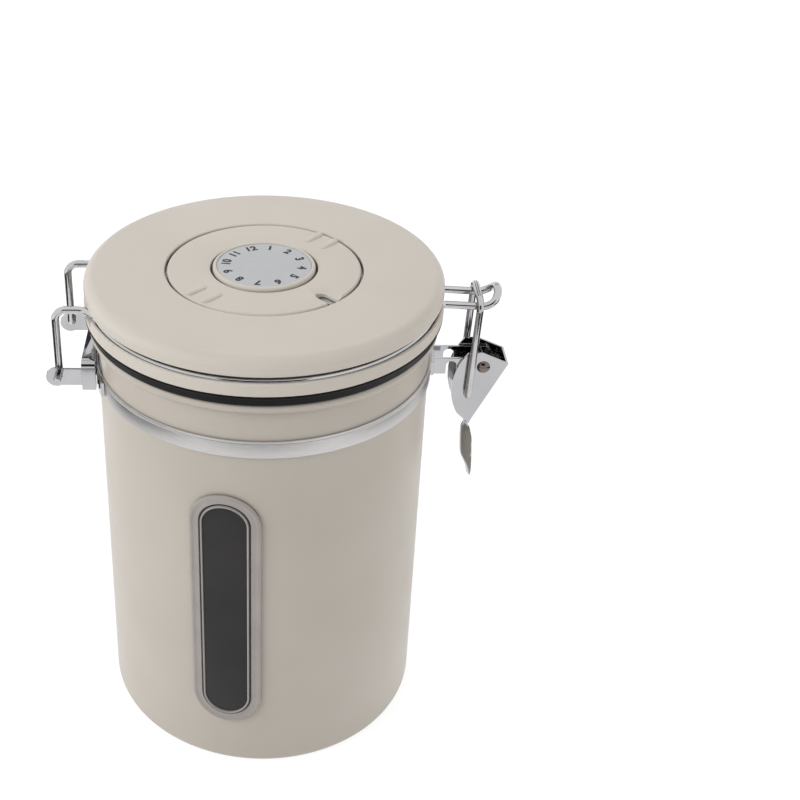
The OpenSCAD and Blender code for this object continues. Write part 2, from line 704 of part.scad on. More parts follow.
// Bail: one bent wire from the hinge pins round the lid to the hook
module lid_bail() {
    pin_end = hinge_ear_out + pin_out;
    pin_start = leg_y + 0.6;
    color(steel) {
        wire(bail_path, bail_r - 0.02);
        for (s = [-1, 1]) rod([hinge_x, s * pin_start, hinge_z], [hinge_x, s * pin_end, hinge_z], bail_r);
    }
}

// Printed metal scale on the floor of the well
module date_scale() {
    color(silver) shell(ring_hole_r + 8, well_r - 0.4, scale_z + fit, scale_z + disc_t);
}

// Date ring: turning ring with finger bars, a slot that shows one date, and the ledge that runs on the boss
module date_ring() {
    edge = 0.8;
    grip_mid = ring_r - 1.3 - grip_l / 2;
    grip_side = 3.9;
    lip_d = 1.4;
    color(paint) {
        difference() {
            union() {
                rotate_extrude() {
                    translate([ring_hole_r, ring_z]) square([ring_r - ring_hole_r, ring_t - edge]);
                    translate([ring_hole_r, ring_z]) square([ring_r - edge - ring_hole_r, ring_t]);
                    translate([ring_r - edge, lid_z - edge]) circle(r = edge, $fn = 32);
                    translate([hub_r + turn_fit, ring_z]) square([ring_hole_r - hub_r, 1.1]);
                }
            }
            rotate([0, 0, notch_turn]) {
                translate([ring_r - notch_l, 0, 0]) cylinder(d = notch_w, h = far * 2, $fn = 48);
                translate([ring_r - notch_l, -notch_w / 2, 0]) cube([notch_l + over, notch_w, far * 2]);
                translate([ring_r - notch_l, 0, lid_z - lip_d])
                    cylinder(r1 = notch_w / 2, r2 = notch_w / 2 + notch_lip, h = lip_d + fit, $fn = 48);
            }
        }
        for (t = [0, 180], s = [-1, 1]) rotate([0, 0, grips_turn + t]) translate([grip_mid, s * grip_side, lid_z - fit])
            linear_extrude(grip_h) rotate(90) stadium(grip_w, grip_l);
    }
}

// Month dial: dished disc with a rounded rim, and the shaft that turns in the boss
module month_dial() {
    shaft_z = washer_z + washer_t + fit;
    color(paint) difference() {
        union() {
            rotate_extrude() {
                translate([0, dial_z]) square([dial_r - 0.4, dial_face - dial_z]);
                translate([dial_r - dial_rim, dial_z + 0.3]) square([dial_rim, dial_top - dial_rim / 2 - dial_z - 0.3]);
                translate([dial_r - dial_rim / 2, dial_top - dial_rim / 2]) circle(d = dial_rim, $fn = 32);
            }
            translate([0, 0, shaft_z]) cylinder(r = shaft_r, h = dial_z - shaft_z + fit, $fn = 64);
        }
        translate([0, 0, shaft_z - over]) cylinder(r = screw_r + fit, h = dial_face - 0.7 - shaft_z + over, $fn = 32);
    }
}

// Printed label in the month dial
module dial_label() {
    color(silver) translate([0, 0, dial_face + fit]) cylinder(r = label_r, h = disc_t);
}

// Washer under the well's floor that keeps the dial in the boss
module dial_washer() {
    color(steel) shell(screw_r + fit, washer_r, washer_z, washer_z + washer_t);
}

// Screw that clamps the washer to the dial's shaft
module dial_screw() {
    slot_d = 0.9;
    color(steel) translate([0, 0, washer_z - fit]) difference() {
        union() {
            cylinder(r = screw_r, h = dial_face - 1.2 - washer_z, $fn = 32);
            translate([0, 0, -screw_head_h]) cylinder(r = screw_head_r, h = screw_head_h, $fn = 48);
        }
        for (a = [0, 90]) rotate([0, 0, a]) translate([-screw_head_r / 2, -slot_d / 2, -screw_head_h - over])
            cube([screw_head_r, slot_d, 1.2 + over]);
    }
}

// Heights of the valve in the middle of the plug
seat_flange = 1.6;
seat_top = plug_z + lid_wall + 1.2;
disc_r = valve_r - 2;
disc_h = 1;
guard_z = seat_top + fit + disc_h + valve_lift + 0.1;
guard_t = 1;
stem_r = 1.5;

// Valve seat: plug with vent holes round a hole for the disc's stem, and a flange on the lid's floor
module valve_seat() {
    color(paint) difference() {
        union() {
            translate([0, 0, plug_z + 0.4]) cylinder(r = valve_r, h = seat_top - plug_z - 0.4, $fn = 64);
            translate([0, 0, plug_z + lid_wall + fit]) cylinder(r = valve_r + seat_flange, h = 1.2 - fit, $fn = 64);
        }
        translate([0, 0, plug_z - over]) cylinder(r = stem_r + turn_fit, h = lid_wall + 4, $fn = 32);
        for (i = [0 : vents - 1]) rotate([0, 0, i * 360 / vents]) translate([valve_r / 2 + 0.1, 0, plug_z - over])
            cylinder(r = 1, h = lid_wall + 4, $fn = 24);
    }
}

// Silicone disc that covers the vent holes and lifts under pressure, with its guide stem
module valve_disc() {
    color(rubber) {
        translate([0, 0, seat_top + fit]) cylinder(r = disc_r, h = disc_h, $fn = 64);
        translate([0, 0, plug_z + 0.6]) cylinder(r = stem_r, h = seat_top - plug_z - 0.5, $fn = 32);
    }
}

// Perforated guard over the valve's disc, which stops its lift
module valve_guard() {
    wall = 1.2;
    color(paint) difference() {
        translate([0, 0, seat_top + fit]) cylinder(r = valve_r + seat_flange - 0.2, h = guard_z + guard_t - seat_top - fit, $fn = 64);
        translate([0, 0, seat_top - over]) cylinder(r = valve_r + seat_flange - 0.2 - wall, h = guard_z - seat_top + over, $fn = 64);
        for (i = [0 : vents - 1]) rotate([0, 0, (i + 0.5) * 360 / vents]) translate([valve_r / 2 + 0.5, 0, 0])
            cylinder(r = 1.3, h = far * 2, $fn = 24);
    }
}

can_body();
window_bezel();
window_pane();
window_seal();
window_retainer();
neck_band();
hinge_bracket();
latch_bracket();
latch_rivet();
latch_lever();
latch_link();
lid_cover();
lid_base();
lid_gasket();
lid_bail();
date_scale();
date_ring();
month_dial();
dial_label();
dial_washer();
dial_screw();
valve_seat();
valve_disc();
valve_guard();
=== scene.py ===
import json
import math

import bmesh
import bpy
from mathutils import Matrix, Quaternion, Vector

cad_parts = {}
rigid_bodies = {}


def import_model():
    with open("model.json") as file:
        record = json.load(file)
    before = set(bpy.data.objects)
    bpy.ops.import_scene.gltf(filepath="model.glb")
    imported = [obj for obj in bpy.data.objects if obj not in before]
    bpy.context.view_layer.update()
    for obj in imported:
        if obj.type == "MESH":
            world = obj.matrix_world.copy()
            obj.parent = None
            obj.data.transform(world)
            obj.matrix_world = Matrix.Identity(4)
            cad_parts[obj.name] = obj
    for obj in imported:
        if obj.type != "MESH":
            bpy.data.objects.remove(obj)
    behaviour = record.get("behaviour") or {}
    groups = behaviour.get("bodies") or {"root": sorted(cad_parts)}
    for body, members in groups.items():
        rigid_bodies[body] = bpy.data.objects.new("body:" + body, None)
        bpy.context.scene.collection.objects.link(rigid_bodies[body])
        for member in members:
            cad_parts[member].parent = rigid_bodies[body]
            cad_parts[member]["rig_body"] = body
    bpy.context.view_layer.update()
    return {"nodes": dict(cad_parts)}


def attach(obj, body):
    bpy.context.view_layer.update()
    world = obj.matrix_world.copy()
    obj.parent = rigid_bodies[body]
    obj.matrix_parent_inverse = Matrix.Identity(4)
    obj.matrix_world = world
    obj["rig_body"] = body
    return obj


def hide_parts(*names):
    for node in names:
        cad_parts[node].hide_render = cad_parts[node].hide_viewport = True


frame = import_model()
nodes = frame["nodes"]
mm = 0.001

# The steel can: a deep-drawn cup with a rounded bottom corner, a stiffening ring pressed into its base
# and a bead rolled outward round its mouth. It is spray-painted in a warm putty tone with a satin finish, and
# the same paint covers its inside, where the real can is bare drawn steel. A slot with round ends is cut for
# the window.
can_r = 61 * mm
can_wall = 0.8 * mm
can_top = 166.6 * mm
corner_r = 4 * mm
bead_r = 1.7 * mm
bead_mid = can_r - can_wall + bead_r
groove_r = 47 * mm
groove_h = 0.6 * mm
hole_w = 19.1 * mm
hole_h = 98.9 * mm


def linear(r, g, b):
    """Linear colour of a screen colour given from 0 to 255."""
    return [(c / 255 / 12.92 if c <= 10 else ((c / 255 + 0.055) / 1.055) ** 2.4) for c in (r, g, b)] + [1]


def shader(name):
    """New material with its node tree, its shader and its object coordinates."""
    material = bpy.data.materials.new(name)
    material.use_nodes = True
    tree = material.node_tree
    place = tree.nodes.new("ShaderNodeTexCoord")
    return material, tree, tree.nodes["Principled BSDF"], place.outputs["Object"]


def noise(tree, place, scale, detail=3, roughness=0.5):
    """Noise of a size given as the number of its grains in a metre."""
    node = tree.nodes.new("ShaderNodeTexNoise")
    node.inputs["Scale"].default_value = scale
    node.inputs["Detail"].default_value = detail
    node.inputs["Roughness"].default_value = roughness
    tree.links.new(place, node.inputs["Vector"])
    return node.outputs["Fac"]


def between(tree, value, low, high, socket):
    """Feeds a shader socket with the noise, spread between two values or colours."""
    if isinstance(low, (int, float)):
        node = tree.nodes.new("ShaderNodeMapRange")
        node.inputs["From Min"].default_value = 0.3
        node.inputs["From Max"].default_value = 0.7
        node.inputs["To Min"].default_value = low
        node.inputs["To Max"].default_value = high
        tree.links.new(value, node.inputs["Value"])
        tree.links.new(node.outputs["Result"], socket)
        return
    node = tree.nodes.new("ShaderNodeValToRGB")
    node.color_ramp.elements[0].position = 0.3
    node.color_ramp.elements[0].color = low
    node.color_ramp.elements[1].position = 0.7
    node.color_ramp.elements[1].color = high
    tree.links.new(value, node.inputs["Fac"])
    tree.links.new(node.outputs["Color"], socket)


def bump(tree, shade, value, depth, strength=1.0):
    """Raises a surface by a depth in metres where the noise is high."""
    node = tree.nodes.new("ShaderNodeBump")
    node.inputs["Distance"].default_value = depth
    node.inputs["Strength"].default_value = strength
    tree.links.new(value, node.inputs["Height"])
    tree.links.new(node.outputs["Normal"], shade.inputs["Normal"])


def mottled(name, low, high, grain, glossy, matt, drift):
    """New material whose colour and roughness drift between two values, each over its own noise."""
    material, tree, shade, place = shader(name)
    between(tree, noise(tree, place, *grain), linear(*low), linear(*high), shade.inputs["Base Color"])
    between(tree, noise(tree, place, *drift), glossy, matt, shade.inputs["Roughness"])
    return material, tree, shade, place


def satin_coat(name, low, high, roughness, peel):
    """Sprayed or moulded satin surface: soft cloudiness, uneven gloss, a fine orange peel and painted shade
    in its crevices.
    """
    material, tree, shade, place = shader(name)
    blend = tree.nodes.new("ShaderNodeMix")
    blend.data_type = "RGBA"
    blend.blend_type = "MULTIPLY"
    blend.inputs["Factor"].default_value = 1
    between(tree, noise(tree, place, 22, 4), linear(*low), linear(*high), blend.inputs["A"])
    # Painted shade: the colour is darkened where other surfaces lie close, in crevices, gaps and under edges.
    crevice_occlusion = tree.nodes.new("ShaderNodeAmbientOcclusion")
    crevice_occlusion.samples = 8
    crevice_occlusion.inputs["Distance"].default_value = 2 * mm
    painted_crevice_shade = tree.nodes.new("ShaderNodeMapRange")
    painted_crevice_shade.inputs["From Min"].default_value = 0.05
    painted_crevice_shade.inputs["From Max"].default_value = 0.42
    painted_crevice_shade.inputs["To Min"].default_value = 0.22
    tree.links.new(crevice_occlusion.outputs["AO"], painted_crevice_shade.inputs["Value"])
    tree.links.new(painted_crevice_shade.outputs["Result"], blend.inputs["B"])
    tree.links.new(blend.outputs["Result"], shade.inputs["Base Color"])
    between(tree, noise(tree, place, 60, 5), roughness - 0.035, roughness + 0.035, shade.inputs["Roughness"])
    bump(tree, shade, noise(tree, place, 1400, 2), peel, 0.5)
    shade.inputs["Specular IOR Level"].default_value = 0.42
    return material


def finished(piece, material, body, slot, *replaced):
    """Gives a piece its material and its body, and hides the nodes that it stands for. The slot is not used.
    """
    piece.data.materials.clear()
    piece.data.materials.append(material)
    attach(piece, body)
    if replaced:
        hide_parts(*replaced)
    return piece


def as_piece(name, mesh_maker, sharp=38):
    """Object of a finished bmesh, shaded smooth except over its sharp edges."""
    mesh = bpy.data.meshes.new(name)
    mesh_maker.to_mesh(mesh)
    mesh_maker.free()
    mesh.shade_smooth()
    mesh.set_sharp_from_angle(angle=math.radians(sharp))
    piece = bpy.data.objects.new(name, mesh)
    bpy.context.scene.collection.objects.link(piece)
    return piece


def turned(name, outline, steps=288, rounds=6):
    """Turns a closed outline of corners, each a radius, a height and a rounding, round the can's axis."""
    bm = bmesh.new()
    corners = [bm.verts.new((r, 0, z)) for r, z, _ in outline]
    bm.faces.new(corners)
    for corner, (_, _, rounding) in zip(corners, outline):
        if rounding:
            bmesh.ops.bevel(bm, geom=[corner], offset=rounding, offset_type="OFFSET", segments=rounds,
                            profile=0.5, affect="VERTICES", material=-1)
    bmesh.ops.delete(bm, geom=bm.faces[:], context="FACES_ONLY")
    on_axis = [e for e in bm.edges if max(abs(v.co.x) for v in e.verts) < 1e-7]
    bmesh.ops.delete(bm, geom=on_axis, context="EDGES")
    bmesh.ops.spin(bm, geom=bm.verts[:] + bm.edges[:], cent=(0, 0, 0), axis=(0, 0, 1), dvec=(0, 0, 0),
                   angle=2 * math.pi, steps=steps, use_merge=True)
    bmesh.ops.remove_doubles(bm, verts=bm.verts[:], dist=1e-6)
    bmesh.ops.recalc_face_normals(bm, faces=bm.faces[:])
    return as_piece(name, bm)


# The window's place on the can, and the size of its frame's flange. Its outlines are drawn flat and
# then bent round the can's wall.
window_turn = math.radians(-102.6)
window_z = 75.4 * mm
window_w = 25.8 * mm
window_h = 105.6 * mm


def slot_loop(bm, width, height, out):
    """Loop with straight sides and round ends, lying flat at a distance out of the can's wall."""
    made = bmesh.ops.create_circle(bm, radius=width / 2, segments=72)
    half_step = Matrix.Rotation(math.pi / 72, 3, "Z")
    bmesh.ops.rotate(bm, verts=made["verts"], matrix=half_step)
    bmesh.ops.rotate(bm, verts=made["verts"], matrix=Matrix.Rotation(math.pi / 2, 3, "X"))
    for v in made["verts"]:
        v.co.z += math.copysign((height - width) / 2, v.co.z)
        v.co.y = out
    return list({e for v in made["verts"] for e in v.link_edges})


def on_the_can(bm):
    """Bends what lies flat round the can's wall at the window."""
    for v in bm.verts:
        turn = window_turn + v.co.x / can_r
        away = can_r + v.co.y
        v.co = (away * math.cos(turn), away * math.sin(turn), v.co.z + window_z)


def window_frame(name, loops):
    """Frame of nested loops, each a width less than the flange's and a distance out, bridged all round."""
    bm = bmesh.new()
    rings = [slot_loop(bm, window_w - 2 * inset, window_h - 2 * inset, out) for inset, out in loops]
    for a, b in zip(rings, rings[1:] + rings[:1]):
        bmesh.ops.bridge_loops(bm, edges=a + b)
    on_the_can(bm)
    bmesh.ops.recalc_face_normals(bm, faces=bm.faces[:])
    return as_piece(name, bm)


def cut_out(piece, tool):
    """Cuts the space of a closed bmesh out of a piece."""
    bmesh.ops.recalc_face_normals(tool, faces=tool.faces[:])
    cutter = as_piece("cutter", tool)
    cut = piece.modifiers.new("cut", "BOOLEAN")
    cut.operation = "DIFFERENCE"
    cut.solver = "EXACT"
    cut.object = cutter
    mesh = bpy.data.meshes.new_from_object(piece.evaluated_get(bpy.context.evaluated_depsgraph_get()))
    piece.modifiers.clear()
    piece.data = mesh
    bpy.data.objects.remove(cutter)


can = turned("can_shell", [
    (0, 0, 0), (groove_r - 1.2 * mm, 0, 0.3 * mm), (groove_r - 1.0 * mm, groove_h, 0.3 * mm),
    (groove_r + 1.0 * mm, groove_h, 0.3 * mm), (groove_r + 1.2 * mm, 0, 0.3 * mm),
    (can_r, 0, corner_r), (can_r, can_top - bead_r, 0), (can_r - can_wall, can_top - bead_r, 0),
    (can_r - can_wall, can_wall, corner_r - can_wall),
    (groove_r + 2 * mm, can_wall, 0.3 * mm), (groove_r + 1.6 * mm, can_wall + 0.5 * mm, 0.3 * mm),
    (groove_r - 1.6 * mm, can_wall + 0.5 * mm, 0.3 * mm), (groove_r - 2 * mm, can_wall, 0.3 * mm),
    (0, can_wall, 0)])
hole = bmesh.new()
hole_loops = [slot_loop(hole, hole_w, hole_h, out) for out in (-6 * mm, 6 * mm)]
bmesh.ops.bridge_loops(hole, edges=hole_loops[0] + hole_loops[1])
bmesh.ops.holes_fill(hole, edges=hole.edges[:], sides=0)
on_the_can(hole)
cut_out(can, hole)
can_paint = satin_coat("can_paint", (187, 179, 168), (192, 184, 174), 0.36, 0.012 * mm)
finished(can, can_paint, "can", "can_paint")

bead = bmesh.new()
ring = bmesh.ops.create_circle(bead, radius=bead_r, segments=24)
bmesh.ops.rotate(bead, verts=ring["verts"], matrix=Matrix.Rotation(math.pi / 2, 3, "X"))
bmesh.ops.translate(bead, verts=ring["verts"], vec=(bead_mid, 0, can_top - bead_r))
bmesh.ops.spin(bead, geom=bead.verts[:] + bead.edges[:], cent=(0, 0, 0), axis=(0, 0, 1), dvec=(0, 0, 0),
               angle=2 * math.pi, steps=288, use_merge=True)
bmesh.ops.recalc_face_normals(bead, faces=bead.faces[:])
rim = as_piece("can_bead", bead)
finished(rim, can_paint, "can", "can_paint", "can_body")

# The window: a glossy grey-clear frame with a rounded outer edge, a valley and a raised inner lip,
# seated on a thin rubber seal, and an acrylic pane on its ledge, painted dark for the shaded inside, with a
# black strip round it.
# A frame inside the can snaps onto the barrel and clamps them.
frame_plastic, tree, shade, place = mottled("frame_plastic", (150, 143, 139), (160, 153, 149),
                                            (90, 3), 0.10, 0.17, (300, 3))
bump(tree, shade, noise(tree, place, 500, 2), 0.01 * mm, 0.3)
shade.inputs["Coat Weight"].default_value = 0.6
shade.inputs["Coat Roughness"].default_value = 0.05
bezel = window_frame("window_surround", [
    (0.05 * mm, 0.62 * mm), (0.0 * mm, 0.85 * mm), (0.12 * mm, 1.2 * mm), (0.4 * mm, 1.48 * mm),
    (0.8 * mm, 1.6 * mm), (1.15 * mm, 1.55 * mm), (1.5 * mm, 1.32 * mm), (1.8 * mm, 1.24 * mm),
    (2.6 * mm, 1.2 * mm), (3.45 * mm, 1.24 * mm), (3.6 * mm, 1.1 * mm), (3.7 * mm, 0.5 * mm),
    (4.2 * mm, 0.5 * mm), (4.3 * mm, 1.5 * mm), (4.45 * mm, 1.7 * mm), (4.75 * mm, 1.7 * mm),
    (4.95 * mm, 1.5 * mm), (5.0 * mm, 0.12 * mm), (5.8 * mm, 0.08 * mm), (5.8 * mm, -3.9 * mm),
    (3.4 * mm, -3.9 * mm), (3.4 * mm, 0.3 * mm)])
finished(bezel, frame_plastic, "can", "frame_plastic", "window_bezel")

pane_w = 15.7 * mm
pane_h = 95.5 * mm
# Painted shade: the pane's dark grey colour and low transmission stand in for the shaded inside of the can.
pane_painted_shade, tree, shade, place = mottled("smoke_pane", (51, 50, 50), (58, 56, 56), (40, 3), 0.08, 0.14, (200, 3))
shade.inputs["Transmission Weight"].default_value = 0.12
shade.inputs["IOR"].default_value = 1.22
pane_mesh = bmesh.new()
pane_loops = [slot_loop(pane_mesh, pane_w, pane_h, out) for out in (0.15 * mm, 1.05 * mm)]
bmesh.ops.bridge_loops(pane_mesh, edges=pane_loops[0] + pane_loops[1])
bmesh.ops.holes_fill(pane_mesh, edges=pane_mesh.edges[:], sides=0)
strip_w = 1.06 * mm
for step in range(-7, 8):
    bmesh.ops.bisect_plane(pane_mesh, geom=pane_mesh.verts[:] + pane_mesh.edges[:] + pane_mesh.faces[:],
                           plane_co=Vector((step * strip_w, 0, 0)), plane_no=(1, 0, 0))
on_the_can(pane_mesh)
bmesh.ops.recalc_face_normals(pane_mesh, faces=pane_mesh.faces[:])
finished(as_piece("window_glass", pane_mesh), pane_painted_shade, "can", "smoke_pane", "window_pane")

black_rubber, tree, shade, place = mottled("black_rubber", (26, 26, 26), (36, 35, 34),
                                           (70, 4), 0.42, 0.55, (250, 4))
bump(tree, shade, noise(tree, place, 1800, 2), 0.01 * mm, 0.5)
seal_t = 0.55 * mm
seal = window_frame("window_gasket", [
    (0.9 * mm, 0.05 * mm), (0.9 * mm, seal_t), (3.2 * mm, seal_t), (3.2 * mm, 0.05 * mm)])
finished(seal, black_rubber, "can", "black_rubber", "window_seal")
# A thin black strip lies in the bottom of the frame's groove round the pane and draws the dark line there.
strip_out = 0.95 * mm
groove_strip = window_frame("window_groove_strip", [
    (3.72 * mm, seal_t), (3.72 * mm, strip_out), (4.18 * mm, strip_out), (4.18 * mm, seal_t)])
finished(groove_strip, black_rubber, "can", "black_rubber")


def softened(node, material, slot, width=0.12 * mm, segments=2):
    """Copy of a CAD node with its loose triangles joined and its edges broken by a small bevel."""
    bm = bmesh.new()
    bm.from_mesh(nodes[node].data)
    bmesh.ops.remove_doubles(bm, verts=bm.verts[:], dist=2e-6)
    bmesh.ops.dissolve_limit(bm, angle_limit=math.radians(0.6), verts=bm.verts[:], edges=bm.edges[:])
    piece = as_piece(node + "_piece", bm)
    if width:
        edge = piece.modifiers.new("edges", "BEVEL")
        edge.width = width
        edge.segments = segments
        edge.limit_method = "ANGLE"
        edge.angle_limit = math.radians(40)
        edge.harden_normals = True
    return finished(piece, material, nodes[node]["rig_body"], slot, node)


softened("window_retainer", frame_plastic, "frame_plastic")

# The neck band: a strip of stainless steel closed round the neck, with a fine groove pressed in under
# its upper edge. It is brushed along its length, so the grain and the reflections run round the can.
band_low = 144.7 * mm
band_high = 151.4 * mm
band_in = can_r + 0.05 * mm
band_out = can_r + 0.9 * mm
band_groove = can_r + 0.55 * mm
band_steel, tree, shade, place = shader("band_steel")
split = tree.nodes.new("ShaderNodeSeparateXYZ")
tree.links.new(place, split.inputs["Vector"])
around = tree.nodes.new("ShaderNodeMath")
around.operation = "ARCTAN2"
tree.links.new(split.outputs["Y"], around.inputs[0])
tree.links.new(split.outputs["X"], around.inputs[1])
grain_place = tree.nodes.new("ShaderNodeCombineXYZ")
stretch = tree.nodes.new("ShaderNodeMath")
stretch.operation = "MULTIPLY"
stretch.inputs[1].default_value = 0.004
tree.links.new(around.outputs["Value"], stretch.inputs[0])
tree.links.new(stretch.outputs["Value"], grain_place.inputs["X"])
tree.links.new(split.outputs["Z"], grain_place.inputs["Z"])
grain = noise(tree, grain_place.outputs["Vector"], 2600, 2)
between(tree, grain, linear(196, 195, 194), linear(208, 207, 206), shade.inputs["Base Color"])
between(tree, grain, 0.30, 0.36, shade.inputs["Roughness"])
bump(tree, shade, grain, 0.001 * mm, 0.2)
shade.inputs["Metallic"].default_value = 1
band = turned("steel_band", [
    (band_in, band_low, 0.2 * mm), (band_out, band_low, 0.18 * mm),
    (band_out, 150.1 * mm, 0.1 * mm), (band_groove, 150.3 * mm, 0.05 * mm),
    (band_groove, 150.55 * mm, 0.05 * mm), (band_out, 150.75 * mm, 0.1 * mm),
    (band_out, band_high, 0.2 * mm), (band_in, band_high, 0.2 * mm)])
finished(band, band_steel, "can", "band_steel", "neck_band")

# The brackets and the rivet: pressed steel sheet, folded and chromed, with broken edges. The hinge
# bracket is a box with two arms, the latch bracket has two ears, and the rivet is a darker nickel.
chrome, tree, shade, place = mottled("chrome", (176, 176, 178), (192, 192, 194),
                                     (45, 3), 0.05, 0.11, (260, 5))
bump(tree, shade, noise(tree, place, 320, 3), 0.006 * mm, 0.3)
shade.inputs["Metallic"].default_value = 1
softened("hinge_bracket", chrome, "chrome", 0.35 * mm, 3)
softened("latch_bracket", chrome, "chrome", 0.2 * mm, 2)
smoked_nickel, tree, shade, place = mottled("smoked_nickel", (112, 104, 100), (130, 121, 116),
                                            (60, 3), 0.12, 0.2, (400, 4))
shade.inputs["Metallic"].default_value = 1
softened("latch_rivet", smoked_nickel, "chrome", 0.1 * mm, 2)

# The lever: one pressed and chromed sheet with two cheeks that turn on the rivet and hold the link.
# The cheeks are cut off at a slant at the bottom, where the sheet goes on into the finger tab.
cheek_cut = Vector((75.4 * mm, 0, 124.0 * mm))
cheek_slope = math.radians(44)
lever = softened("latch_lever", chrome, "chrome", 0.25 * mm, 3)
trimmed = bmesh.new()
trimmed.from_mesh(lever.data)
below_cut = Vector((-math.sin(cheek_slope), 0, -math.cos(cheek_slope)))
bmesh.ops.bisect_plane(trimmed, geom=trimmed.verts[:] + trimmed.edges[:] + trimmed.faces[:],
                       plane_co=cheek_cut, plane_no=below_cut, clear_outer=True)
bmesh.ops.holes_fill(trimmed, edges=trimmed.edges[:], sides=0)
bmesh.ops.recalc_face_normals(trimmed, faces=trimmed.faces[:])
trimmed.to_mesh(lever.data)
trimmed.free()

# The finger tab: the lever's sheet narrows to a neck, which is arched outward, and opens into a spoon
# that is dished inward. Each station is a height, half a width, how deep the dish is (below zero for
# the arch) and how far out the sheet's edges lie, all in mm.
tab_t = 0.95 * mm
stations = [
    (94.6, 1.2, 0.3, 80.2), (95.3, 2.7, 0.8, 80.3), (96.4, 4.0, 1.2, 80.3), (98.8, 5.3, 1.6, 80.2),
    (100.9, 5.9, 2.3, 80.1), (103.3, 6.2, 3.2, 79.95), (105.3, 6.3, 3.7, 79.85), (110.0, 6.3, 3.85, 79.6),
    (114.6, 6.2, 3.6, 79.2), (116.6, 5.4, 2.4, 78.75), (118.3, 4.2, 0.8, 78.25), (119.6, 3.8, -0.3, 77.3),
    (121.2, 4.3, -1.6, 76.2), (122.8, 5.3, -2.6, 75.5), (124.6, 5.9, -2.6, 75.4)]
spoon = bmesh.new()
bmesh.ops.create_grid(spoon, x_segments=20, y_segments=60, size=1)
for v in spoon.verts:
    across, along = v.co.x, (v.co.y + 1) / 2 * (len(stations) - 1)
    i = min(int(along), len(stations) - 2)
    before, start, end, after = (stations[min(max(j, 0), len(stations) - 1)] for j in range(i - 1, i + 3))
    t = along - i
    z, half_w, deep, rim_x = (
        0.5 * (2 * b + (c - a) * t + (2 * a - 5 * b + 4 * c - d) * t ** 2 + (3 * b - a - 3 * c + d) * t ** 3)
        for a, b, c, d in zip(before, start, end, after))
    v.co = ((rim_x - deep * (1 - across ** 2)) * mm, across * half_w * mm, z * mm)
bmesh.ops.solidify(spoon, geom=spoon.faces[:], thickness=-tab_t)
bmesh.ops.recalc_face_normals(spoon, faces=spoon.faces[:])
tab = as_piece("finger_tab", spoon, 50)
rounded = tab.modifiers.new("edges", "BEVEL")
rounded.width = 0.2 * mm
rounded.segments = 3
rounded.limit_method = "ANGLE"
rounded.angle_limit = math.radians(50)
finished(tab, chrome, "latch_lever", "chrome")

# The wires: the bail is one bent stainless wire from the hinge pins round the lid to the upturned
# hook, and the link is a second wire hooked through the lever's eyes. Both are bright and cold-drawn.
wire_steel, tree, shade, place = mottled("wire_steel", (186, 186, 188), (204, 204, 206),
                                         (60, 3), 0.08, 0.15, (600, 4))
bump(tree, shade, noise(tree, place, 900, 2), 0.004 * mm, 0.3)
shade.inputs["Metallic"].default_value = 1
bail_r = 1.4 * mm
ring_mid = 62.3 * mm
bail_z = 175.5 * mm
hook_y = 5.8 * mm
hook_bend = 4 * mm
hook_z = 173.0 * mm
hook_fall = 0.7 * mm
hook_r = 6 * mm
hook_curl = math.radians(78)
bar_x = 77.6 * mm
bar_room = 1 * mm
drop_turn = math.radians(27)
leg_y = 17.6 * mm
leg_bend = 4 * mm
bail_bend = 8 * mm
pin_bend = 1.5 * mm
leg_lift = 1.2 * mm
hinge_x = -73.6 * mm
hinge_z = 151.25 * mm
hinge_end = 24.8 * mm
hook_x = math.sqrt((ring_mid + hook_bend) ** 2 - (hook_y + hook_bend) ** 2)
hook_a = math.atan2(hook_y + hook_bend, hook_x)
drop_end = hook_a + drop_turn
hook_flat = bar_x + bar_room - hook_x
hook_length = hook_flat + hook_r * hook_curl
back_x = -math.sqrt((ring_mid + bail_bend) ** 2 - (leg_y + bail_bend) ** 2)
back_a = math.atan2(leg_y + bail_bend, back_x)


def hook_point(along, y):
    """Point of the hook at a length along its side view."""
    if along < hook_flat:
        return hook_x + along, y, hook_z - hook_fall * along / hook_flat
    turn = (along - hook_flat) / hook_r
    return hook_x + hook_flat + hook_r * math.sin(turn), y, hook_z - hook_fall + hook_r * (1 - math.cos(turn))


def ring_height(turn):
    """Height of the wire in the lid, which falls towards the hook."""
    if turn > drop_end:
        return bail_z
    part = (turn - hook_a / 2) / (drop_end - hook_a / 2)
    return hook_z + (bail_z - hook_z) * part * part * (3 - 2 * part)


side = [hook_point(hook_length - hook_y * (1 - math.cos(math.radians(a))), hook_y * math.sin(math.radians(a)))
        for a in range(0, 91, 9)]
side += [hook_point((hook_length - hook_y) * (1 - i / 24), hook_y) for i in range(1, 24)]
side += [(hook_x + hook_bend * math.cos(a), hook_y + hook_bend + hook_bend * math.sin(a),
          ring_height(hook_a / 2 * (1 + i / 10)))
         for i in range(11) for a in [-math.pi / 2 - i * (math.pi / 2 - hook_a) / 10]]
side += [(ring_mid * math.cos(a), ring_mid * math.sin(a), ring_height(a))
         for i in range(1, 101) for a in [hook_a + (back_a - hook_a) * i / 100]]
side += [(back_x + bail_bend * math.cos(a), leg_y + bail_bend + bail_bend * math.sin(a),
          bail_z + leg_lift * i / 12)
         for i in range(1, 13) for a in [back_a - math.pi - i * (back_a - math.pi / 2) / 12]]
side += [(hinge_x + leg_bend + leg_bend * math.cos(a), leg_y,
          bail_z + leg_lift - leg_bend + leg_bend * math.sin(a))
         for i in range(13) for a in [math.pi / 2 + i * math.pi / 24]]
side += [(hinge_x, leg_y + pin_bend + pin_bend * math.cos(a), hinge_z + pin_bend + pin_bend * math.sin(a))
         for i in range(9) for a in [math.pi + i * math.pi / 16]]
side.append((hinge_x, hinge_end, hinge_z))


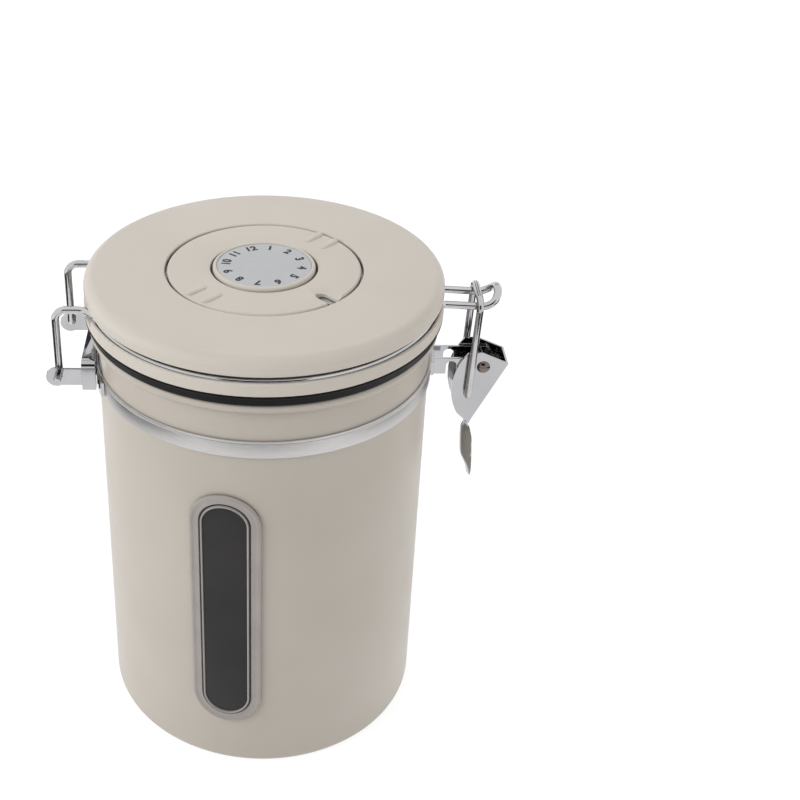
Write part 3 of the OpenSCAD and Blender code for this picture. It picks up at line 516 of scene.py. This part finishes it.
def wire(name, points, radius, body, material, slot, node, closed=False):
    """Round wire swept along a line of points."""
    path = bpy.data.curves.new(name, "CURVE")
    path.dimensions = "3D"
    path.bevel_depth = radius
    path.bevel_resolution = 6
    path.use_fill_caps = True
    line = path.splines.new("POLY")
    line.points.add(len(points) - 1)
    for point, place_at in zip(line.points, points):
        point.co = (*place_at, 1)
    line.use_cyclic_u = closed
    swept = bpy.data.objects.new(name, path)
    bpy.context.scene.collection.objects.link(swept)
    mesh = bpy.data.meshes.new_from_object(swept.evaluated_get(bpy.context.evaluated_depsgraph_get()))
    bpy.data.objects.remove(swept)
    bm = bmesh.new()
    bm.from_mesh(mesh)
    bmesh.ops.remove_doubles(bm, verts=bm.verts[:], dist=1e-6)
    bmesh.ops.recalc_face_normals(bm, faces=bm.faces[:])
    return finished(as_piece(name, bm, 50), material, body, slot, node)


bail_path = [(x, -y, z) for x, y, z in reversed(side[1:])] + side
wire("bail_wire", bail_path, bail_r, "lid", wire_steel, "wire_steel", "lid_bail")

link_r = 1.3 * mm
bar_gap = 0.3 * mm
bend_gap = 0.3 * mm
eye = Vector((75.894 * mm, 0, 135.316 * mm))
bar = Vector((bar_x, 0, hook_z - hook_fall + bail_r + link_r + bar_gap))
link_up = (bar - eye).normalized()
link_y = 8.85 * mm
top_bend = 3.6 * mm
foot_bend = 2 * mm
end_y = 4.5 * mm
link_l = (bar - eye).length
half = [(end_y, 0), (link_y - foot_bend - bend_gap, 0)]
half += [(link_y - foot_bend + foot_bend * math.sin(a), foot_bend - foot_bend * math.cos(a))
         for i in range(9) for a in [i * math.pi / 16]]
half += [(link_y - top_bend + top_bend * math.cos(a), link_l - top_bend + top_bend * math.sin(a))
         for i in range(13) for a in [i * math.pi / 24]]
link_path = [eye + link_up * h + Vector((0, -y, 0)) for y, h in half]
link_path += [eye + link_up * h + Vector((0, y, 0)) for y, h in reversed(half)]
wire("link_wire", link_path, link_r, "latch_link", wire_steel, "wire_steel", "latch_link")

# The lid: a two-piece satin plastic moulding. The base has the plug, the rim and the channel for the
# bail, the cover snaps on it over the wire, and a black silicone gasket sits under the rim.
lid_top = 185 * mm
lid_r = 64.8 * mm
lid_wall = 2 * mm
lid_edge = 3.8 * mm
cover_low = 178.2 * mm
well_r = 35.75 * mm
well_back = 37.7 * mm
well_floor = 182.4 * mm
well_under = 179.9 * mm
ledge_r = 27.3 * mm
ledge_z = 181.5 * mm
boss_r = 17 * mm
boss_top = 183.3 * mm
bore_r = 4.1 * mm
skirt_r = 58.5 * mm
skirt_low = 172.95 * mm
skirt_high = 183.2 * mm
lid_plastic = satin_coat("lid_plastic", (203, 196, 186), (208, 201, 191), 0.40, 0.008 * mm)
cover = turned("lid_top", [
    (well_back, lid_top - lid_wall, 0), (61.0 * mm, lid_top - lid_wall, 1.7 * mm),
    (lid_r - lid_wall, 181.2 * mm, 0.5 * mm), (lid_r - lid_wall, cover_low, 0.4 * mm),
    (lid_r, cover_low, 0.7 * mm), (lid_r, lid_top, lid_edge),
    (well_r, lid_top, 0.6 * mm), (well_r, well_floor, 0.1 * mm),
    (ledge_r, well_floor, 0), (ledge_r, ledge_z, 0),
    (boss_r, ledge_z, 0.2 * mm), (boss_r, boss_top, 0.2 * mm),
    (bore_r, boss_top, 0.2 * mm), (bore_r, well_under, 0.2 * mm),
    (well_back, well_under, 0.3 * mm)], rounds=10)
finished(cover, lid_plastic, "lid", "lid_plastic")
skirt = turned("lid_skirt", [
    (skirt_r - lid_wall, skirt_low, 0.3 * mm), (skirt_r, skirt_low, 0.3 * mm),
    (skirt_r, skirt_high, 0), (skirt_r - lid_wall, skirt_high, 0)])
finished(skirt, lid_plastic, "lid", "lid_plastic", "lid_cover")
softened("lid_base", lid_plastic, "lid_plastic", 0.25 * mm, 3)

black_silicone, tree, shade, place = mottled("black_silicone", (10, 10, 10), (16, 16, 15),
                                             (60, 4), 0.36, 0.48, (180, 4))
shade.inputs["Specular IOR Level"].default_value = 0.15
bump(tree, shade, noise(tree, place, 900, 3), 0.012 * mm, 0.5)
gasket_in = 56.05 * mm
gasket_low = 166.8 * mm
gasket_high = 170.85 * mm
gasket_lip = 64.95 * mm
gasket = turned("gasket_ring", [
    (gasket_in, gasket_low, 0.3 * mm), (64.0 * mm, gasket_low, 0.7 * mm), (64.3 * mm, 169.8 * mm, 0.3 * mm),
    (gasket_lip, 170.1 * mm, 0.2 * mm), (gasket_lip, gasket_high, 0.2 * mm),
    (gasket_in, gasket_high, 0.2 * mm)])
finished(gasket, black_silicone, "lid", "black_silicone", "lid_gasket")

# The date ring: a turning moulded ring with a slot at its edge that shows one date of the printed
# metal scale under it, and a soft dish in its top beside the slot.
ring_r = 34.9 * mm
ring_low = lid_top - 2.9 * mm
ring_step = 183 * mm
ring_hole = 19.4 * mm
ring_foot = 27 * mm
notch_turn = math.radians(-47.35)
notch_r = 2.6 * mm
notch_in = 29.6 * mm
notch_out = 38 * mm
notch_side = 0.3 * mm
notch_low = 180 * mm
notch_h = 9 * mm
dish_r = 8.1 * mm
dish_stretch = 1.55
dish_middle = (31.5 * mm, 2 * mm, lid_top + 7.05 * mm)
knob_ring = turned("date_ring_body", [
    (ring_hole, ring_low, 0.2 * mm), (ring_foot, ring_low, 0), (ring_foot, ring_step, 0),
    (ring_r, ring_step, 0.1 * mm), (ring_r, lid_top, 1.0 * mm), (ring_hole, lid_top, 0.3 * mm)], rounds=8)
slot = bmesh.new()
ends = bmesh.ops.create_circle(slot, radius=notch_r, segments=48)["verts"]
for v in ends:
    v.co.x += notch_in if v.co.x < 0 else notch_out
    v.co.y += notch_side
opening = bmesh.ops.extrude_edge_only(slot, edges=slot.edges[:])
upper = [v for v in opening["geom"] if isinstance(v, bmesh.types.BMVert)]
bmesh.ops.translate(slot, verts=upper, vec=(0, 0, notch_h))
bmesh.ops.holes_fill(slot, edges=slot.edges[:], sides=0)
bmesh.ops.translate(slot, verts=slot.verts[:], vec=(0, 0, notch_low))
dish = bmesh.new()
bmesh.ops.create_uvsphere(dish, u_segments=96, v_segments=64, radius=dish_r)
bmesh.ops.scale(dish, verts=dish.verts[:], vec=(dish_stretch, 1, 1))
bmesh.ops.translate(dish, verts=dish.verts[:], vec=dish_middle)
for tool in (slot, dish):
    bmesh.ops.rotate(tool, verts=tool.verts[:], matrix=Matrix.Rotation(notch_turn, 3, "Z"))
    cut_out(knob_ring, tool)
knob_ring.data.shade_smooth()
knob_ring.data.set_sharp_from_angle(angle=math.radians(38))
finished(knob_ring, lid_plastic, "date_ring", "lid_plastic", "date_ring")

# The finger bars: two pairs of soft raised bars, higher at their outer ends, moulded on the ring.
# Each layer of a bar is drawn in from its outline and up by two lengths in mm.
grips_turn = math.radians(45)
bars_out = 29.6 * mm
bars_apart = 7.8 * mm
bar_r = 1.6 * mm
bar_half = 2.9 * mm
bar_slope = 0.28
bar_layers = ((0, -0.2), (0, 0.1), (0.12, 0.5), (0.4, 0.85), (0.8, 1.05), (1.15, 1.1))
bars = bmesh.new()
for pair in (0, math.pi):
    for side_y in (-bars_apart / 2, bars_apart / 2):
        layers = []
        for inset, rise in bar_layers:
            layer = bmesh.ops.create_circle(bars, radius=bar_r - inset * mm, segments=32)["verts"]
            for v in layer:
                v.co.x += math.copysign(bar_half, v.co.x)
                slope = 1 - bar_slope + bar_slope * v.co.x / (bar_half + bar_r)
                v.co.z = lid_top + rise * mm * (1 if rise < 0 else slope)
                v.co.x += bars_out
                v.co.y += side_y
            layers.append(layer)
        for low_layer, high_layer in zip(layers, layers[1:]):
            bmesh.ops.bridge_loops(bars, edges=list({e for v in low_layer + high_layer for e in v.link_edges
                                                     if len(e.link_faces) < 2}))
        bmesh.ops.contextual_create(bars, geom=layers[-1])
        bmesh.ops.rotate(bars, verts=[v for layer in layers for v in layer],
                         matrix=Matrix.Rotation(grips_turn + pair, 3, "Z"))
bmesh.ops.recalc_face_normals(bars, faces=bars.faces[:])
finished(as_piece("finger_bars", bars, 60), lid_plastic, "date_ring", "lid_plastic")

# The date scale: a thin printed aluminium ring in the lid's well, right under the date ring. It carries
# the days of a month in black ink, and shows only through the slot.
scale_metal, tree, shade, place = mottled("scale_metal", (176, 177, 179), (200, 201, 203),
                                          (2600, 3), 0.34, 0.48, (900, 3))
shade.inputs["Metallic"].default_value = 0.55
scale_in = 27.5 * mm
scale_out = 35.5 * mm
scale_low = 182.45 * mm
scale_high = 182.7 * mm
scale = turned("printed_scale", [
    (scale_in, scale_low, 0), (scale_out, scale_low, 0),
    (scale_out, scale_high, 0.05 * mm), (scale_in, scale_high, 0.05 * mm)])
finished(scale, scale_metal, "lid", "scale_metal", "date_scale")

ink, tree, shade, place = mottled("ink", (30, 30, 31), (42, 42, 43), (900, 3), 0.45, 0.6, (1200, 3))
ink_t = 0.05 * mm
stroke_offset = 0.028
stroke_spread = 0.018


def numbers(name, figures, size, middle_r, height, first_turn):
    """Ring of printed figures that read from the centre, clockwise from the first one's direction."""
    joined = bmesh.new()
    for i in range(figures):
        words = bpy.data.curves.new("figure", "FONT")
        words.body = str(i + 1)
        words.size = size
        words.align_x = "CENTER"
        words.align_y = "CENTER"
        words.extrude = ink_t / 2
        words.offset = size * stroke_offset
        words.resolution_u = 6
        printed = bpy.data.objects.new("figure", words)
        bpy.context.scene.collection.objects.link(printed)
        mesh = bpy.data.meshes.new_from_object(printed.evaluated_get(bpy.context.evaluated_depsgraph_get()))
        bpy.data.objects.remove(printed)
        turn = first_turn - math.radians(360 / figures) * i
        spot = (middle_r * math.cos(turn), middle_r * math.sin(turn), height + ink_t / 2)
        mesh.transform(Matrix.Translation(spot) @ Matrix.Rotation(turn - math.pi / 2, 4, "Z"))
        joined.from_mesh(mesh)
    bmesh.ops.remove_doubles(joined, verts=joined.verts[:], dist=1e-6)
    joined.normal_update()
    spread = [(v, sum((f.normal for f in v.link_faces if abs(f.normal.z) < 0.5), Vector()).normalized())
              for v in joined.verts]
    for v, outward in spread:
        v.co += outward * size * stroke_spread
    return as_piece(name, joined, 20)


sunk = 0.01 * mm
shown_turn = math.radians(-48.5)
first_date = shown_turn + math.radians(12 * 360 / 31)
dates = numbers("date_figures", 31, 3.4 * mm, 32.6 * mm, scale_high - sunk, first_date)
finished(dates, ink, "lid", "scale_metal")

# The month dial: a moulded disc with a rounded rim round a sparkling silver label. The months are
# printed as numbers, and the middle of the label is bare.
dial_r = 18.5 * mm
dial_low = 183.6 * mm
dial_high = 186.2 * mm
dial_floor = 185.4 * mm
shaft_r = 4 * mm
shaft_low = 179.65 * mm
screw_hole = 1.55 * mm
label_r = 17 * mm
label_low = 185.45 * mm
label_top = 185.7 * mm
dial = turned("dial_disc", [
    (0, dial_low, 0), (18.1 * mm, dial_low, 0.2 * mm), (dial_r, 184.0 * mm, 0.2 * mm),
    (dial_r, dial_high, 1.15 * mm), (17.1 * mm, 186.0 * mm, 0.25 * mm), (17.1 * mm, dial_floor, 0),
    (0, dial_floor, 0)], steps=192)
finished(dial, lid_plastic, "month_dial", "lid_plastic")
shaft = turned("dial_shaft", [
    (screw_hole, shaft_low, 0), (shaft_r, shaft_low, 0.3 * mm),
    (shaft_r, 183.7 * mm, 0), (screw_hole, 183.7 * mm, 0)], steps=64)
finished(shaft, lid_plastic, "month_dial", "lid_plastic", "month_dial")
label_foil, tree, shade, place = shader("label_foil")
speck = noise(tree, place, 5200, 2, 0.7)
between(tree, speck, linear(176, 177, 179), linear(204, 205, 207), shade.inputs["Base Color"])
between(tree, noise(tree, place, 2600, 2), 0.42, 0.56, shade.inputs["Roughness"])
bump(tree, shade, speck, 0.01 * mm, 0.3)
shade.inputs["Metallic"].default_value = 0.12
shade.inputs["Specular IOR Level"].default_value = 0.3
label = turned("dial_print", [
    (0, label_low, 0), (label_r, label_low, 0),
    (label_r, label_top, 0.05 * mm), (0, label_top, 0)], steps=128)
finished(label, label_foil, "month_dial", "label_foil", "dial_label")
first_month = math.radians(81)
months = numbers("month_figures", 12, 4.4 * mm, 13.6 * mm, label_top - sunk, first_month)
finished(months, ink, "month_dial", "label_foil")

# Under the well: the steel washer and screw that hold the dial, and the one-way valve in the plug,
# which is a vented seat, a soft disc that lifts to let gas out, and a guard over it.
screw_steel, tree, shade, place = mottled("screw_steel", (168, 168, 170), (190, 190, 192),
                                          (800, 3), 0.25, 0.38, (1500, 3))
shade.inputs["Metallic"].default_value = 1
softened("dial_washer", screw_steel, "screw_steel", 0.08 * mm)
softened("dial_screw", screw_steel, "screw_steel", 0.1 * mm)
valve_plastic = satin_coat("valve_plastic", (214, 212, 206), (222, 220, 214), 0.38, 0.006 * mm)
softened("valve_seat", valve_plastic, "valve_plastic", 0.15 * mm)
softened("valve_guard", valve_plastic, "valve_plastic", 0.15 * mm)
valve_silicone, tree, shade, place = mottled("valve_silicone", (150, 62, 48), (164, 72, 56),
                                             (300, 3), 0.40, 0.52, (700, 3))
softened("valve_disc", valve_silicone, "valve_silicone", 0.12 * mm)

# The studio: a pale floor and surround that the camera, the bright metal and the glass all see as white.
# The floor keeps the can's soft shadow, since it glows with a part of that white and dims what it reflects.
floor_glow = 0.88
floor_dim = 0.76
soft_light = 0.42
floor_mesh = bmesh.new()
bmesh.ops.create_grid(floor_mesh, x_segments=2, y_segments=2, size=3)
floor = as_piece("floor", floor_mesh)
floor_paint, tree, shade, place = shader("floor_paint")
between(tree, noise(tree, place, 3, 2), (0.9, 0.9, 0.9, 1), (0.92, 0.92, 0.92, 1), shade.inputs["Base Color"])
shade.inputs["Roughness"].default_value = 0.9
shade.inputs["Specular IOR Level"].default_value = 0.1


def seen_white(tree):
    """How much a ray comes straight from the camera or from a metal or glass surface."""
    rays = tree.nodes.new("ShaderNodeLightPath")
    value = rays.outputs["Is Camera Ray"]
    for kind in ("Is Glossy Ray", "Is Transmission Ray"):
        either = tree.nodes.new("ShaderNodeMath")
        either.operation = "MAXIMUM"
        tree.links.new(value, either.inputs[0])
        tree.links.new(rays.outputs[kind], either.inputs[1])
        value = either.outputs["Value"]
    return value


def share(tree, value, part):
    """A part of a value, made by a node."""
    node = tree.nodes.new("ShaderNodeMath")
    node.operation = "MULTIPLY"
    node.inputs[1].default_value = part
    tree.links.new(value, node.inputs[0])
    return node.outputs["Value"]


glow = tree.nodes.new("ShaderNodeEmission")
white_rays = seen_white(tree)
tree.links.new(share(tree, white_rays, floor_glow), glow.inputs["Strength"])
with_glow = tree.nodes.new("ShaderNodeAddShader")
dimmed = tree.nodes.new("ShaderNodeMixShader")
black = tree.nodes.new("ShaderNodeBsdfDiffuse")
black.inputs["Color"].default_value = (0, 0, 0, 1)
tree.links.new(share(tree, white_rays, floor_dim), dimmed.inputs["Fac"])
tree.links.new(shade.outputs["BSDF"], dimmed.inputs[1])
tree.links.new(black.outputs["BSDF"], dimmed.inputs[2])
tree.links.new(dimmed.outputs["Shader"], with_glow.inputs[0])
tree.links.new(glow.outputs["Emission"], with_glow.inputs[1])
tree.links.new(with_glow.outputs["Shader"], tree.nodes["Material Output"].inputs["Surface"])
floor.data.materials.append(floor_paint)

world = bpy.data.worlds.new("studio")
bpy.context.scene.world = world
world.use_nodes = True
tree = world.node_tree
backdrop = tree.nodes["Background"]
backdrop.inputs["Color"].default_value = (1, 1, 1, 1)
backdrop.inputs["Strength"].default_value = 1
light_on_things = tree.nodes.new("ShaderNodeBackground")
light_on_things.inputs["Color"].default_value = (1, 1, 1, 1)
light_on_things.inputs["Strength"].default_value = soft_light
mixed = tree.nodes.new("ShaderNodeMixShader")
tree.links.new(seen_white(tree), mixed.inputs["Fac"])
tree.links.new(light_on_things.outputs["Background"], mixed.inputs[1])
tree.links.new(backdrop.outputs["Background"], mixed.inputs[2])
tree.links.new(mixed.outputs["Shader"], tree.nodes["World Output"].inputs["Surface"])

# Black flags, which only the bright metal sees: two behind the can, a tall one behind the camera and
# four that lie low round the can. They give the wires and the pressed steel their dark streaks.
flag_cloth, tree, shade, place = shader("flag_cloth")
between(tree, noise(tree, place, 40, 3), (0.01, 0.01, 0.01, 1), (0.02, 0.02, 0.02, 1),
        shade.inputs["Base Color"])
shade.inputs["Roughness"].default_value = 0.9


def flag(name, middle, width, height, tilt, turn):
    """Flat card at a place, tipped up from the floor and turned round the upright."""
    sheet = bmesh.new()
    bmesh.ops.create_grid(sheet, x_segments=1, y_segments=1, size=0.5)
    bmesh.ops.scale(sheet, verts=sheet.verts[:], vec=(width, height, 1))
    bmesh.ops.rotate(sheet, verts=sheet.verts[:], matrix=Matrix.Rotation(math.radians(tilt), 3, "X"))
    bmesh.ops.rotate(sheet, verts=sheet.verts[:], matrix=Matrix.Rotation(math.radians(turn), 3, "Z"))
    bmesh.ops.translate(sheet, verts=sheet.verts[:], vec=middle)
    card = as_piece(name, sheet)
    card.data.materials.append(flag_cloth)
    card.visible_camera = False
    card.visible_diffuse = False
    card.visible_shadow = False
    card.visible_transmission = False


flag("card_left", (-0.36, 1.3, 0.95), 0.26, 0.75, 70, 12)
flag("card_right", (0.40, 1.3, 0.95), 0.26, 0.75, 70, -12)
flag("flag_front", (0, -1.3, 0.75), 1.3, 0.9, 60, 0)
flag("flag_left", (-0.36, -0.10, 0.004), 0.22, 0.5, 0, 0)
flag("flag_right", (0.40, -0.10, 0.004), 0.22, 0.5, 0, 0)
flag("flag_back", (0.0, 0.34, 0.004), 0.9, 0.2, 0, 0)
flag("flag_near", (0.0, -0.36, 0.004), 0.5, 0.12, 0, 0)


# Three soft lamps light it: a large one high on the left, a long one on the right and one behind. The
# bright metal doesn't mirror them.
lit_point = Vector((0, 0, 0.1))


def lamp(name, spot, size, size_y, power):
    """Soft rectangular lamp that points at the middle of the can."""
    light = bpy.data.lights.new(name, "AREA")
    light.shape = "RECTANGLE"
    light.size = size
    light.size_y = size_y
    light.energy = power
    stand = bpy.data.objects.new(name, light)
    stand.location = spot
    stand.visible_glossy = False
    stand.rotation_mode = "QUATERNION"
    stand.rotation_quaternion = (lit_point - Vector(spot)).to_track_quat("-Z", "Y")
    bpy.context.scene.collection.objects.link(stand)


lamp("key", (-0.95, -0.50, 0.85), 0.8, 0.8, 10)
lamp("side", (1.1, -0.30, 0.5), 0.5, 0.9, 4)
lamp("back", (0.1, 1.1, 0.9), 0.9, 0.5, 5)

# The camera stands at the photograph's place, above and in front, on the side of the window. Its fall,
# roll, lens and shift were fitted to the can's round edges and its upright sides.
camera_fall = math.radians(29.735)
camera_roll = math.radians(0.239)
camera = bpy.data.cameras.new("camera")
camera.sensor_width = 36
camera.lens = 61.23
camera.shift_x = 0.1701
camera.shift_y = -0.0964
camera_stand = bpy.data.objects.new("camera", camera)
camera_stand.location = (0, -0.43444, 0.40991)
camera_stand.rotation_mode = "QUATERNION"
tilt = Quaternion((1, 0, 0), math.pi / 2 - camera_fall)
camera_stand.rotation_quaternion = tilt @ Quaternion((0, 0, 1), camera_roll)
bpy.context.scene.collection.objects.link(camera_stand)
bpy.context.scene.camera = camera_stand
bpy.context.scene.view_settings.view_transform = "Standard"
